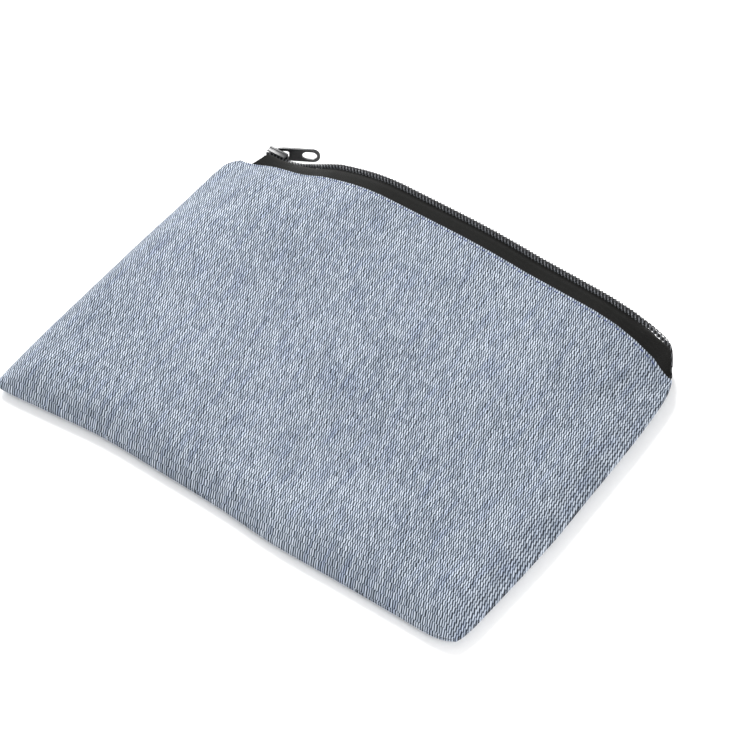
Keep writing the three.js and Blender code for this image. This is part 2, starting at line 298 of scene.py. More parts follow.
# %% [markdown]
# ### Cotton twill
# Warp-faced twill of white yarn with dark blue yarn behind it. The white floats stand in
# columns a little over a millimetre apart. Each leans the same way, like a small brush
# stroke, and each row of floats starts about half a column aside from the row below it. The
# dark yarn shows between them. The yarn varies in thickness and dye, so faint narrow streaks
# turn a little darker or bluer along its length. The cloth is matt, with a faint fuzz.

# %% Twill material
COLUMN, ROW = 1.18, 2.2  # mm between floats across the cloth and along it
COLUMN_TILT = 0.09  # mm that a column moves aside for each mm along it
FLOAT_LEAN = 0.57  # share of a column that one float moves aside over its own length
FLOAT_HALF = 0.43  # half the width of a float, as a share of a column


def twill(name, paler=0.0):
    made, tree, shader = material(name, 0.95, Sheen_Weight=0.08, Sheen_Roughness=0.6, Specular_IOR_Level=0.12)
    uv = add(tree, "ShaderNodeUVMap", {"uv_map": "cloth_mm"}).outputs["UV"]
    parts = add(tree, "ShaderNodeSeparateXYZ", Vector=uv)
    u, v = parts.outputs[0], parts.outputs[1]

    def streaks(across, down, detail, offset):
        """Noise drawn out along the yarn."""
        scaled = add(tree, "ShaderNodeMapping", Vector=uv)
        scaled.inputs["Scale"].default_value = (across, down, 1)
        scaled.inputs["Location"].default_value = (offset, offset, 0)
        noise = add(tree, "ShaderNodeTexNoise", Vector=scaled.outputs[0], Scale=1.0, Detail=detail)
        return noise.outputs["Fac"]

    rows = maths(tree, "MULTIPLY_ADD", streaks(0.5, 0.2, 2, 11.0), 0.5, maths(tree, "DIVIDE", v, ROW))
    row, along = maths(tree, "FLOOR", rows), maths(tree, "FRACT", rows)
    wander = maths(tree, "MULTIPLY_ADD", streaks(0.25, 0.12, 2, 3.1), 0.9, maths(tree, "DIVIDE", u, COLUMN))
    leaning = maths(tree, "MULTIPLY_ADD", along, FLOAT_LEAN, wander)
    columns = maths(tree, "MULTIPLY_ADD", v, COLUMN_TILT / COLUMN, leaning)
    column, across = maths(tree, "FLOOR", columns), maths(tree, "FRACT", columns)
    which = add(tree, "ShaderNodeCombineXYZ", X=column, Y=row).outputs[0]
    chance = add(tree, "ShaderNodeTexWhiteNoise", {"noise_dimensions": "2D"}, Vector=which)
    middle = maths(tree, "MULTIPLY_ADD", chance.outputs["Value"], 0.16, 0.42)
    side = maths(tree, "DIVIDE", maths(tree, "SUBTRACT", across, middle), FLOAT_HALF)
    run = maths(tree, "POWER", maths(tree, "ABSOLUTE", maths(tree, "MULTIPLY_ADD", along, 2.0, -1.0)), 6.0)
    out = maths(tree, "MULTIPLY_ADD", side, side, maths(tree, "MULTIPLY", run, 0.12))
    stroke = maths(tree, "MAXIMUM", maths(tree, "SUBTRACT", 1.0, out), 0.0)
    dye = add(tree, "ShaderNodeSeparateXYZ", Vector=chance.outputs["Color"]).outputs[2]
    slub, patch = streaks(0.7, 0.06, 3, 5.0), streaks(0.02, 0.012, 2, 20.0)
    tone = maths(tree, "MULTIPLY", stroke, maths(tree, "MULTIPLY_ADD", dye, 0.24, 0.76))
    tone = maths(tree, "ADD", tone, maths(tree, "MULTIPLY_ADD", slub, 0.16, -0.08))
    tone = maths(tree, "ADD", tone, maths(tree, "MULTIPLY_ADD", patch, 0.12, -0.06 + paler))
    colour = ramp(tree, tone, [(0.0, "#11161d"), (0.3, "#353e49"), (0.6, "#757f8d"), (0.95, "#c2cad5")])
    mixing = {"data_type": "RGBA", "blend_type": "MULTIPLY"}
    blue = add(tree, "ShaderNodeMix", mixing, in6=colour, in7=linear("#c6cfe6"))
    tree.links.new(maths(tree, "MULTIPLY_ADD", streaks(0.3, 0.05, 2, 31.0), 2.0, -0.95), blue.inputs[0])
    finish_shader(tree, shader, blue.outputs[2], stroke, 0.6, 0.0002)
    return made


TWILL = twill("cotton_twill_blue_white")
TWILL_INSIDE = twill("cotton_twill_reverse", paler=0.1)
print("made", TWILL.name)

# %% [markdown]
# ### Zip and thread
# Zip tape is a dense black polyester herringbone. The coil is black nylon monofilament: smooth, with a tight
# highlight on each loop from its glossy coat, and its base colour is painted mid grey, a painted highlight
# that lightens the whole coil. Sewing thread is spun polyester, slightly shiny. The slider is die-cast zinc
# under black stoving enamel.


# %% Tape, nylon, thread and enamel
def woven_tape(name):
    made, tree, shader = material(name, 0.85, Sheen_Weight=0.1, Specular_IOR_Level=0.2)
    uv = add(tree, "ShaderNodeUVMap", {"uv_map": "cloth_mm"}).outputs["UV"]
    parts = add(tree, "ShaderNodeSeparateXYZ", Vector=uv)
    u, v = parts.outputs[0], parts.outputs[1]
    zigzag = maths(tree, "PINGPONG", v, 1.2)
    rib = maths(tree, "SINE", maths(tree, "MULTIPLY", maths(tree, "ADD", u, zigzag), 2 * math.pi / 0.7))
    weft = maths(tree, "SINE", maths(tree, "MULTIPLY", u, 2 * math.pi / 0.45))
    height = maths(tree, "MULTIPLY_ADD", weft, 0.4, rib)
    colour = ramp(tree, maths(tree, "MULTIPLY_ADD", rib, 0.5, 0.5), [(0.0, "#0a0a09"), (1.0, "#161614")])
    finish_shader(tree, shader, colour, height, 0.6, 0.0001)
    return made


def speckled(name, dark, light, roughness, size, strength=0.15, **extra):
    """A finish with fine uneven colour and gloss, at a grain size in metres."""
    made, tree, shader = material(name, roughness, **extra)
    where = add(tree, "ShaderNodeTexCoord").outputs["Object"]
    grain = add(tree, "ShaderNodeTexNoise", Vector=where, Scale=1 / size, Detail=3.0).outputs["Fac"]
    gloss = maths(tree, "MULTIPLY_ADD", grain, 0.2, roughness - 0.1)
    colour = ramp(tree, grain, [(0.3, dark), (0.7, light)])
    finish_shader(tree, shader, colour, grain, strength, 0.00005, gloss)
    return made


TAPE_MATERIAL = woven_tape("black_polyester_tape")
# Black nylon given a mid grey base colour: painted highlight on every loop, added to the real gloss of the
# coat.
NYLON_PAINTED_GREY_HIGHLIGHT = speckled("black_nylon_painted_grey_highlight", "#4c4e52", "#626468", 0.25, 0.002, Coat_Weight=0.3)
CORD = speckled("black_spun_cord", "#141416", "#232326", 0.9, 0.0006)
BLACK_THREAD = speckled("black_polyester_thread", "#1c1c1e", "#303033", 0.65, 0.0008)
BLUE_THREAD = speckled("blue_polyester_thread", "#1d2c60", "#3a4c88", 0.6, 0.0008, Sheen_Weight=0.2)
PALE_THREAD = speckled("pale_overlock_thread", "#c9ced8", "#e6e9ee", 0.7, 0.0008, Sheen_Weight=0.2)
ENAMEL = speckled(
    "black_enamelled_zinc", "#111214", "#1f2022", 0.38, 0.0015, Coat_Weight=0.4, Coat_Roughness=0.25
)


# %% [markdown]
# ## Turning points into meshes
# The panels and tapes are grids: rows of points with an outer face, an inner face and a wall
# round the rim, so each is a closed body with a real thickness.


# %% Mesh helpers
def mesh_piece(name, points_mm, faces, finish, uv=None, smooth_shaded=True):
    """A new object at the origin from points in mm."""
    mesh = bpy.data.meshes.new(name)
    mesh.from_pydata((np.asarray(points_mm, float) / 1000).tolist(), [], [tuple(f) for f in faces])
    mesh.validate()
    if uv is not None:
        layer = mesh.uv_layers.new(name="cloth_mm")
        corner = np.empty(len(mesh.loops), int)
        mesh.loops.foreach_get("vertex_index", corner)
        layer.data.foreach_set("uv", np.asarray(uv, float)[corner].ravel())
    mesh.materials.append(finish)
    mesh.polygons.foreach_set("use_smooth", [smooth_shaded] * len(mesh.polygons))
    made = bpy.data.objects.new(name, mesh)
    bpy.context.scene.collection.objects.link(made)
    return made


def sheet_faces(rows, columns):
    """Faces of a closed shell: an outer grid, an inner grid after it, and the rim."""
    i, j = np.meshgrid(np.arange(rows - 1), np.arange(columns - 1), indexing="ij")
    a = (i * columns + j).ravel()
    outer = np.stack([a, a + columns, a + columns + 1, a + 1], 1)
    inner = outer[:, ::-1] + rows * columns
    top = list(range(columns))
    right = [k * columns + columns - 1 for k in range(1, rows)]
    low = [(rows - 1) * columns + k for k in range(columns - 2, -1, -1)]
    left = [k * columns for k in range(rows - 2, 0, -1)]
    rim = np.array(top + right + low + left)
    nxt, n = np.roll(rim, -1), rows * columns
    wall = np.stack([rim, nxt, nxt + n, rim + n], 1)
    return np.concatenate([outer, inner, wall]).tolist()


def shell(name, outer, inner, finish, uv, crisp_rim=False):
    """A closed sheet from two grids of points, turned the right way out."""
    rows, columns = outer.shape[:2]
    points = np.concatenate([outer.reshape(-1, 3), inner.reshape(-1, 3)])
    faces = np.array(sheet_faces(rows, columns))
    p = points[faces]
    cross = np.cross(p[:, 1] - p[:, 0], p[:, 2] - p[:, 0]) + np.cross(p[:, 2] - p[:, 0], p[:, 3] - p[:, 0])
    if (p[:, 0] * cross).sum() < 0:
        faces = faces[:, ::-1]
    flat_uv = uv.reshape(-1, 2)
    piece = mesh_piece(name, points, faces.tolist(), finish, np.concatenate([flat_uv, flat_uv]))
    if crisp_rim:
        rim = set(faces[-2 * (rows + columns - 2) :].ravel().tolist())
        for edge in piece.data.edges:
            edge.use_edge_sharp = edge.vertices[0] in rim and edge.vertices[1] in rim
    return piece


def done(piece, body, slot, *replaced):
    """Rides a finished piece on its body and hides the solids it stands for. The slot is not used."""
    if body is not None:
        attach(piece, body)
    if replaced:
        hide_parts(*replaced)
    print(f"{piece.name}: {len(piece.data.polygons)} faces")
    return piece


# %% [markdown]
# ## The lip in runs
# Shutting the zip brings the front lip down to the back one, and the CAD model does that with a straight
# slide. Here the lip's lift is split into runs of one smooth step each, where its curve changes, and the
# front zip tape and coil are cut into pieces at the same places. The front panel and the tape take their
# height from the same lift, so they meet along the lip.


def flatten(piece):
    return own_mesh(piece)


def ramp_points(x0, length, slant):
    """Start and end of a blend whose share grows over length along X, and leans with slant."""
    step = length / (1 + slant**2)
    start = (x0 / 1000, CHAIN_Y / 1000, 0)
    return start, ((x0 + step) / 1000, (CHAIN_Y - step * slant) / 1000, 0)


def runs():
    """The lip in runs of one smooth step each: its two ends, the bodies, and the blend's points."""
    out = {}
    rising = ("rise", RISE, RISE_SLANT, ("bag", "front_lip"))
    falling = ("fall", FALL, FALL_SLANT, ("front_lip", "bag"))
    for kind, points, slant, bodies in (rising, falling):
        for k, ((x0, w0), (x1, w1)) in enumerate(zip(points, points[1:])):
            t0, t1 = unsmooth(w0), unsmooth(w1)
            zero, length = x0 - t0 * (x1 - x0) / (t1 - t0), (x1 - x0) / (t1 - t0)
            start = zero if kind == "rise" else zero + length
            out[f"{kind}_{k + 1}"] = (x0, x1, *bodies, ramp_points(start, abs(length), slant))
    return out


LIP_RUNS = runs()
print("lip runs:", list(LIP_RUNS))

# %% [markdown]
# ## The two panels
# Each panel is one cut of cloth. The front one folds back on itself along the zip, so its lip
# is twice as thick, with a rounded edge and a shallow groove where the topstitching bites.


# %% Panels
def spaced(count, crowd=0.0):
    """Steps from 0 to 1, closer together at both ends."""
    t = np.linspace(0, 1, count)
    return mix(t, 0.5 - 0.5 * np.cos(np.pi * t), crowd)


def panel_grid(across, up):
    u, v = np.meshgrid(spaced(across, 0.5), spaced(up, 0.5), indexing="ij")
    y = mix(Y_BOTTOM, Y_LIP, v)
    x = mix(left_x(y), right_x(y), u)
    y = mix(bottom_y(x), Y_LIP, v)
    return mix(left_x(y), right_x(y), u), y


def lip_profile(x, y):
    """Outer relief of the folded lip: fold, stitch groove and rounded edge."""
    hem = 0.45 * smooth((y - HEM_FROM) / 2) - 0.32 * bump_at(y, STITCH_Y, 0.55)
    pucker = 0.14 * np.sin(2 * np.pi * x / STITCH_PITCH) * bump_at(y, STITCH_Y, 1.6)
    return hem + pucker - 0.75 * np.clip((y - 83.9) / 1.1, 0, 1) ** 3


def front_outer(x, y):
    fade = 1 - smooth((y - 60) / 22)
    detail = cloth_detail(x, y) * mix(0.25, 1, fade) * smooth((Y_LIP - y) / 4 + 0.3)
    return front_inner(x, y) + CLOTH + detail + lip_profile(x, y)


def front_lining(x, y):
    return front_outer(x, y) - CLOTH - 0.3 * smooth((y - HEM_FROM) / 2)


def panel(name, outer_z, inner_z, finish, across=180, up=130):
    x, y = panel_grid(across, up)
    outer, inner = np.stack([x, y, outer_z(x, y)], -1), np.stack([x, y, inner_z(x, y)], -1)
    return shell(name, outer, inner, finish, np.stack([x, y], -1))


front = panel("front_cloth", front_outer, front_lining, TWILL)
done(flatten(front), "bag", "cloth", "front_panel")


def back_detail(x, y):
    return np.maximum(0, -0.5 * cloth_detail(x, y, 0.0)) + 0.25 * smooth((y - HEM_FROM) / 2)


def back_inside(x, y):
    return back_outer(x, y) + CLOTH


def back_underside(x, y):
    return np.maximum(0, back_outer(x, y) - back_detail(x, y))


back = panel("back_cloth", back_inside, back_underside, TWILL)
done(back, "bag", "cloth", "back_panel")


# %% [markdown]
# ## Seam allowances
# The pouch is unlined, so turning it inside out shows the cut edges of the cloth, bound with
# overlock thread. They lie inside along three sides.


# %% Allowances and their overlock bars
def seam_point(side, s, d):
    if side == "left":
        return left_x(s) + d, s
    if side == "right":
        return right_x(s) - d, s
    return s, bottom_y(s) + d


def inside_strip(name, side, depths, most, finish):
    rows = np.linspace(-108, 110, 110) if side == "bottom" else np.linspace(-72, 58, 80)
    s, d = np.meshgrid(rows, np.array(depths), indexing="ij")
    x, y = seam_point(side, s, d)
    low, high = back_inside(x, y), front_inner(x, y)
    middle = np.minimum((low + high) / 2, seam_z(y) + 1.2) + 0.25 * np.sin(s / 6.1)
    half = np.minimum(most, (high - low) / 2 - 0.3) * (0.85 + 0.15 * np.sin(s / 3.7))
    top, under = np.stack([x, y, middle + half], -1), np.stack([x, y, middle - half], -1)
    return shell(name, top, under, finish, np.stack([x, y], -1))


def overlock_position(side, points):
    """Places points given as (along, across, up) on the inner edge of an allowance."""
    s, across, up = points.T
    x, y = seam_point(side, s, 8.6 + across)
    middle = np.minimum((back_inside(x, y) + front_inner(x, y)) / 2, seam_z(y) + 1.2)
    return np.stack([x, y, middle + up], 1)


for side in ("left", "right", "bottom"):
    strip = inside_strip(side + "_allowance_cloth", side, [0.6, 2, 3.2, 5, 7, 9.2], 0.9, TWILL_INSIDE)
    done(flatten(strip), "bag", "allowance", side + "_seam_allowance")

# %% [markdown]
# ## One tree for everything that repeats
# Coil loops, stitches and overlock bars are all a small piece repeated at a steady pitch. One
# Geometry Nodes tree makes such a straight row. Each row is then bent onto the stringer or
# the cloth with the same functions that made them.


# %% Row tree
def row_tree():
    tree = bpy.data.node_groups.new("repeat_in_a_row", "GeometryNodeTree")
    tree.interface.new_socket("Geometry", in_out="OUTPUT", socket_type="NodeSocketGeometry")
    kinds = {"Piece": "Object", "Count": "Int", "Pitch": "Float", "Finish": "Material"}
    for label, kind in kinds.items():
        tree.interface.new_socket(label, in_out="INPUT", socket_type="NodeSocket" + kind)
    given = add(tree, "NodeGroupInput").outputs
    step = add(tree, "ShaderNodeCombineXYZ", X=given["Pitch"])
    line = add(tree, "GeometryNodeMeshLine", Count=given["Count"], Offset=step.outputs[0])
    piece = add(tree, "GeometryNodeObjectInfo", Object=given["Piece"])
    shape = piece.outputs["Geometry"]
    copies = add(tree, "GeometryNodeInstanceOnPoints", Points=line.outputs[0], Instance=shape)
    solid = add(tree, "GeometryNodeRealizeInstances", Geometry=copies.outputs[0])
    painted = add(tree, "GeometryNodeSetMaterial", Geometry=solid.outputs[0], Material=given["Finish"])
    add(tree, "NodeGroupOutput", in0=painted.outputs[0])
    return tree


ROW = row_tree()


def row_of(name, piece, count, pitch, finish, start=0.0):
    """Repeats piece count times along X and returns the result as a plain object."""
    holder = bpy.data.objects.new(name, bpy.data.meshes.new(name))
    bpy.context.scene.collection.objects.link(holder)
    modifier = holder.modifiers.new("row", "NODES")
    modifier.node_group = ROW
    values = {"Piece": piece, "Count": count, "Pitch": pitch, "Finish": finish}
    for item in ROW.interface.items_tree:
        if item.in_out == "INPUT":
            modifier[item.identifier] = values[item.name]
    bpy.context.view_layer.update()
    shaped = holder.evaluated_get(bpy.context.evaluated_depsgraph_get())
    mesh = bpy.data.meshes.new_from_object(shaped)
    holder.modifiers.clear()
    holder.data = mesh
    mesh.transform(Matrix.Translation((start, 0, 0)))
    mesh.polygons.foreach_set("use_smooth", [True] * len(mesh.polygons))
    return holder


def get_points(piece):
    out = np.empty(len(piece.data.vertices) * 3)
    piece.data.vertices.foreach_get("co", out)
    return out.reshape(-1, 3)


def set_points(piece, points):
    piece.data.vertices.foreach_set("co", np.asarray(points, float).ravel())
    piece.data.update()


# %% Tubes for wire and thread
def tube_mesh(path, radius, sides=6):
    """Points and faces of a closed round bar along a path, in the path's own units."""
    path = np.asarray(path, float)
    tangent = np.gradient(path, axis=0)
    tangent /= np.linalg.norm(tangent, axis=1, keepdims=True)
    side = np.cross(tangent[0], [0.3, 0.2, 1.0])
    rings = []
    for point, t in zip(path, tangent):
        side = side - t * (side @ t)
        side /= np.linalg.norm(side)
        other = np.cross(t, side)
        a = np.linspace(0, 2 * np.pi, sides, endpoint=False)[:, None]
        rings.append(point + radius * (np.cos(a) * side + np.sin(a) * other))
    n, count = sides, len(path)
    faces = []
    for i in range(count - 1):
        for j in range(n):
            k = (j + 1) % n
            faces.append((i * n + j, i * n + k, (i + 1) * n + k, (i + 1) * n + j))
    faces += [tuple(range(n))[::-1], tuple((count - 1) * n + j for j in range(n))]
    return np.concatenate(rings), faces


def hidden_piece(name, points, faces):
    """A plain piece from points and faces, used as a pattern and removed once used."""
    mesh = bpy.data.meshes.new(name)
    mesh.from_pydata(np.asarray(points).tolist(), [], faces)
    made = bpy.data.objects.new(name, mesh)
    bpy.context.scene.collection.objects.link(made)
    return made


# %% [markdown]
# ## The zip stringers
# A stringer is a tape with a coil along one edge. Beside the slider the coil stands a quarter
# turn to the tape's free edge, and where the mouth is open it relaxes nearly flat. Points are
# given as distance along the zip, back from the coil heads, and up off the tape, and one
# function places them in space.


# %% Place points on a stringer
TAPE_EDGE = 0.35  # mm from the coil heads back to the tape's edge


def turn(x):
    return mix(math.pi / 2, OPEN_TURN, smooth((x + 96) / 26) * smooth((118 - x) / 34))


def on_stringer(side, x, s, h):
    """side is 1 for the front stringer and -1 for the back one."""
    a = turn(x)
    head = mix(0.05, 2.6 if side > 0 else 0.75, 1 - np.sin(a))
    share = 1.0 if side > 0 else FLATTENED
    middle = CHAIN_Y - END_DROP * smooth((-108.7 - x) / 3.6) - END_DROP * smooth((x - 109.5) / 7.5)
    h = h * (1 - 0.6 * smooth((x - 106) / 6))
    y = middle - s * np.cos(a) + h * np.sin(a)
    z = CHAIN_Z + side * (head + s * np.sin(a) + h * np.cos(a))
    return np.stack([x + 0 * y, y, z + LIFT * share * lift(x, y)], -1)


def tape_line(side, x, count=9):
    """The outer face of the tape at one x, from under the cloth to its edge at the coil."""
    tuck = smooth((x - TAPE_FROM) / 3) * smooth((TAPE_TO - x) / 11)
    share = 1.0 if side > 0 else FLATTENED
    lip = (lambda y: front_base(x, y) - 0.45) if side > 0 else (lambda y: back_outer(x, y) + CLOTH + 0.35)
    ys = np.array([81.5, 83.3, 85.0])
    hidden = np.stack([ys, lip(ys) - side * np.array([0.5, 0.2, 0.0])], 1)
    flat = 1.4 + 1.7 * tuck
    d, e = on_stringer(side, np.array([x, x]), np.array([flat, flat + 1]), np.array([0.0, 0.0]))[:, 1:]
    grip = 1 + 1.2 * tuck
    a = hidden[2]
    b, c = a + [grip, 0], d + (e - d) * grip
    t = np.linspace(0, 1, count)[1:-1, None]
    curve = (1 - t) ** 3 * a + 3 * t * (1 - t) ** 2 * b + 3 * t * t * (1 - t) * c + t**3 * d
    last = np.array([flat, (flat + TAPE_EDGE) / 2, TAPE_EDGE])
    ends = on_stringer(side, np.full(3, x), last, np.zeros(3))[:, 1:]
    return np.concatenate([hidden, curve, ends])


def tape_piece(name, side, x_from, x_to, lean_from, lean_to, rows):
    """A stretch of tape. Its two ends can lean, so that neighbours meet along one line."""
    xs = np.linspace(x_from, x_to, rows)
    outer, inner = [], []
    for k, x in enumerate(xs):
        lean = mix(lean_from, lean_to, smooth(k / (rows - 1)))
        line = tape_line(side, x)
        at = np.maximum(x - (CHAIN_Y - line[:, 0]) * lean, TAPE_FROM)
        if lean:
            for _ in range(3):
                line = np.array([tape_line(side, xi)[i] for i, xi in enumerate(at)])
                at = np.maximum(x - (CHAIN_Y - line[:, 0]) * lean, TAPE_FROM)
        step = np.gradient(line, axis=0)
        step /= np.linalg.norm(step, axis=1, keepdims=True)
        under = line + side * TAPE * np.stack([step[:, 1], -step[:, 0]], 1)
        outer.append(np.column_stack([at, line]))
        inner.append(np.column_stack([at, under]))
    outer, inner = np.array(outer), np.array(inner)
    across = np.cumsum(np.linalg.norm(np.diff(outer, axis=1, prepend=outer[:, :1]), axis=2), axis=1)
    return shell(name, outer, inner, TAPE_MATERIAL, np.stack([outer[..., 0], across], -1), crisp_rim=True)


def follow_lip(piece):
    """Bakes the placement of a piece of the front stringer into its mesh."""
    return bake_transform(piece)


# %% Both tapes
END_CUT, END_SLANT = 5.2, 0.6  # the left end of each tape is cut aslant, mm and mm per mm
RUN_NAMES = list(LIP_RUNS)


def run_span(run, first, last):
    """Where a run starts and ends along the zip, and how much each end leans with the rise."""
    x0, x1 = LIP_RUNS[run][:2]
    lean0 = lean1 = RISE_SLANT if run.startswith("rise") else FALL_SLANT
    if run == RUN_NAMES[0]:
        x0, lean0 = first, 0
    if run == "rise_3":
        x1, lean1 = FALL[0][0], 0
    if run == "fall_1":
        lean0 = 0
    if run == RUN_NAMES[-1]:
        x1, lean1 = last, 0
    return x0, x1, lean0, lean1


for run in LIP_RUNS:
    x0, x1, lean0, lean1 = run_span(run, TAPE_FROM, TAPE_TO)
    if run == "rise_1":
        x0, lean0 = TAPE_FROM + END_CUT, END_SLANT
    tape = tape_piece("front_tape_" + run, 1, x0, x1, lean0, lean1, max(12, int(abs(x1 - x0) / 1.2)))
    piece = follow_lip(tape)
    done(piece, None, "tape", *(["front_zip_tape"] if run == "rise_1" else []))
back_tape = tape_piece("back_tape", -1, TAPE_FROM + END_CUT, TAPE_TO, END_SLANT, 0, 200)
done(back_tape, "bag", "tape", "back_zip_tape")

# %% [markdown]
# ## The coil
# The teeth of a coil zip are one nylon wire wound into a flattened spring, with a small bulge
# at each head, about 1.75 mm apart. It is sewn to the tape through a two-ply filler cord
# that lies inside the loops.

# %% Coil loops
PITCH = 1.75
CORD_PLIES = (0.85, 1.75)  # mm back from the heads
loop_path = np.array([
    (0, 2.75, 0.95), (0.05, 2.4, 0.5), (0.12, 1.5, 0.42), (0.17, 0.6, 0.45),
    (0.2, 0.08, 0.75), (0.25, -0.12, 1.2), (0.3, 0.08, 1.65), (0.4, 0.6, 1.95),
    (0.55, 1.5, 2.02), (0.75, 2.4, 1.95), (0.92, 2.8, 1.55), (1.0, 2.75, 0.95),
])
loop_path[:, 0] *= PITCH
loop_points, loop_faces = tube_mesh(loop_path, 0.36, 7)
coil_loop = hidden_piece("pattern_loop", loop_points, loop_faces)


def stringer_row(name, side, pattern, x_from, x_to, pitch, finish):
    """A row of pattern pieces bent onto a stringer, from x_from to x_to."""
    count = int(round((x_to - x_from) / pitch))
    made = row_of(name, pattern, count, pitch, finish, start=x_from)
    x, s, h = get_points(made).T
    set_points(made, on_stringer(side, x, s, h) / 1000)
    return made


def filler_cord(name, side, x_from, x_to):
    """Two plies of cord side by side inside the loops, along a stringer."""
    xs = np.linspace(x_from, x_to, max(8, int((x_to - x_from) / 1.5)))
    points, faces = np.empty((0, 3)), []
    for s in CORD_PLIES:
        ply, ply_faces = tube_mesh(on_stringer(side, xs, np.full_like(xs, s), np.full_like(xs, 1.2)), 0.58, 8)
        faces += [tuple(i + len(points) for i in face) for face in ply_faces]
        points = np.concatenate([points, ply])
    return mesh_piece(name, points, faces, CORD)


zip_stitch_path = [(0, 0, -0.25), (0.25, 0, 0.05), (0.75, 0, 0.1), (1.25, 0, 0.05), (1.5, 0, -0.25)]
stitch_points, stitch_faces = tube_mesh(np.array(zip_stitch_path) + [0, 1.35, 2.35], 0.17, 6)
second_points, _ = tube_mesh(np.array(zip_stitch_path) + [0.3, 2.15, 2.3], 0.17, 6)
pair_faces = stitch_faces + [tuple(i + len(stitch_points) for i in f) for f in stitch_faces]
zip_stitch = hidden_piece("pattern_zip_stitch", np.concatenate([stitch_points, second_points]), pair_faces)

for run in LIP_RUNS:
    x_from, x_to = run_span(run, COIL_FROM, COIL_TO)[:2]
    first = run == "rise_1"
    x_from = COIL_FROM + PITCH * round((x_from - COIL_FROM) / PITCH)
    x_to = COIL_FROM + PITCH * round((x_to - COIL_FROM) / PITCH)
    loops = stringer_row("front_coil_" + run, 1, coil_loop, x_from, x_to, PITCH, NYLON_PAINTED_GREY_HIGHLIGHT)
    done(follow_lip(loops), None, "coil", *(["front_coil"] if first else []))
    sewing = stringer_row("front_coil_sewing_" + run, 1, zip_stitch, x_from, x_to, PITCH, BLACK_THREAD)
    done(follow_lip(sewing), None, "zip_thread", *(["front_coil_stitch"] if first else []))
    cord = filler_cord("front_filler_cord_" + run, 1, x_from, x_to)
    done(follow_lip(cord), None, "cord", *(["front_coil_cord"] if first else []))
half = PITCH / 2
back_loops = stringer_row("back_coil_loops", -1, coil_loop, COIL_FROM + half, COIL_TO, PITCH, NYLON_PAINTED_GREY_HIGHLIGHT)
done(back_loops, "bag", "coil", "back_coil")
back_sewing = stringer_row(
    "back_coil_sewing", -1, zip_stitch, COIL_FROM + half, COIL_TO, PITCH, BLACK_THREAD
)
done(back_sewing, "bag", "zip_thread", "back_coil_stitch")
done(filler_cord("back_filler_cord", -1, COIL_FROM, COIL_TO), "bag", "cord", "back_coil_cord")

# %% [markdown]
# ## Topstitching and overlock
# A line of lockstitch runs along each lip, a couple of millimetres in from the fold, in blue
# thread darker than the cloth. Stitches are 3.2 mm apart. Each shows for about 2 mm and then
# sinks into the cloth.

# %% Stitches on the cloth
lock_path = [
    (0.1, 0, -0.35), (0.3, 0, 0.02), (0.7, 0, 0.14), (1.05, 0, 0.16),
    (1.4, 0, 0.14), (1.8, 0, 0.02), (2.0, 0, -0.35),
]
lock_stitch = hidden_piece("pattern_lock_stitch", *tube_mesh(lock_path, 0.2, 6))


def lip_stitches(name, face, sign):
    made = row_of(name, lock_stitch, 69, STITCH_PITCH, BLUE_THREAD, start=-110.4)
    x, y, up = get_points(made).T
    y = y + STITCH_Y
    set_points(made, np.stack([x, y, face(x, y) + sign * (up + 0.05)], 1) / 1000)
    return made


front_line = lip_stitches("front_lip_stitches", front_outer, 1)
done(flatten(front_line), "bag", "stitch", "front_topstitch")
back_line = lip_stitches("back_lip_stitches", back_underside, -1)
done(back_line, "bag", "stitch", "back_topstitch")

over_path = [
    (0, -1.6, 0.9), (0.2, -0.4, 1.25), (0.4, 0.9, 0.9), (0.5, 1.3, 0.0),
    (0.6, 0.9, -0.9), (0.8, -0.4, -1.25), (1.0, -1.6, -0.9),
]
OVER_PITCH = 1.9
over_bar = hidden_piece("pattern_overlock", *tube_mesh(np.array(over_path) * [1.6, 1, 0.9], 0.28, 6))
for side, (start, end) in {"left": (-72, 58), "right": (-72, 58), "bottom": (-108, 110)}.items():
    count = int((end - start) / OVER_PITCH)
    row = row_of(side + "_overlock_thread", over_bar, count, OVER_PITCH, PALE_THREAD, start=start)
    set_points(row, overlock_position(side, get_points(row)) / 1000)
    done(flatten(row), "bag", "overlock", side + "_overlock")

for pattern in (coil_loop, zip_stitch, lock_stitch, over_bar):
    bpy.data.objects.remove(pattern)

# %% [markdown]
# ## Slider and pull tab
# The slider is a zinc casting: two plates that guide the coils, a post between them, and a
# bridge for the tab. The tab is stamped with a small eye at the bridge and a long one at
# the grip. Both have their edges rounded by tumbling before they are enamelled.


# %% Castings
def casting(name, blocks, round_edge, finish):
    """Blocks of (centre, half sizes) in mm joined in one mesh, with rounded edges."""
    points, faces = [], []
    corners = np.array([(i, j, k) for i in (-1, 1) for j in (-1, 1) for k in (-1, 1)])
    sides = [(0, 1, 3, 2), (4, 6, 7, 5), (0, 4, 5, 1), (2, 3, 7, 6), (0, 2, 6, 4), (1, 5, 7, 3)]
    for centre, size in blocks:
        made = hidden_piece("block", corners * size, sides)
        bevel = made.modifiers.new("tumbled", "BEVEL")
        bevel.width, bevel.segments, bevel.limit_method = min(round_edge, 0.9 * min(size)), 3, "NONE"
        mesh = made.evaluated_get(bpy.context.evaluated_depsgraph_get()).to_mesh()
        base = len(points)
        points += [tuple(v.co + Vector(centre)) for v in mesh.vertices]
        faces += [tuple(i + base for i in p.vertices) for p in mesh.polygons]
        bpy.data.objects.remove(made)
    return mesh_piece(name, points, faces, finish)


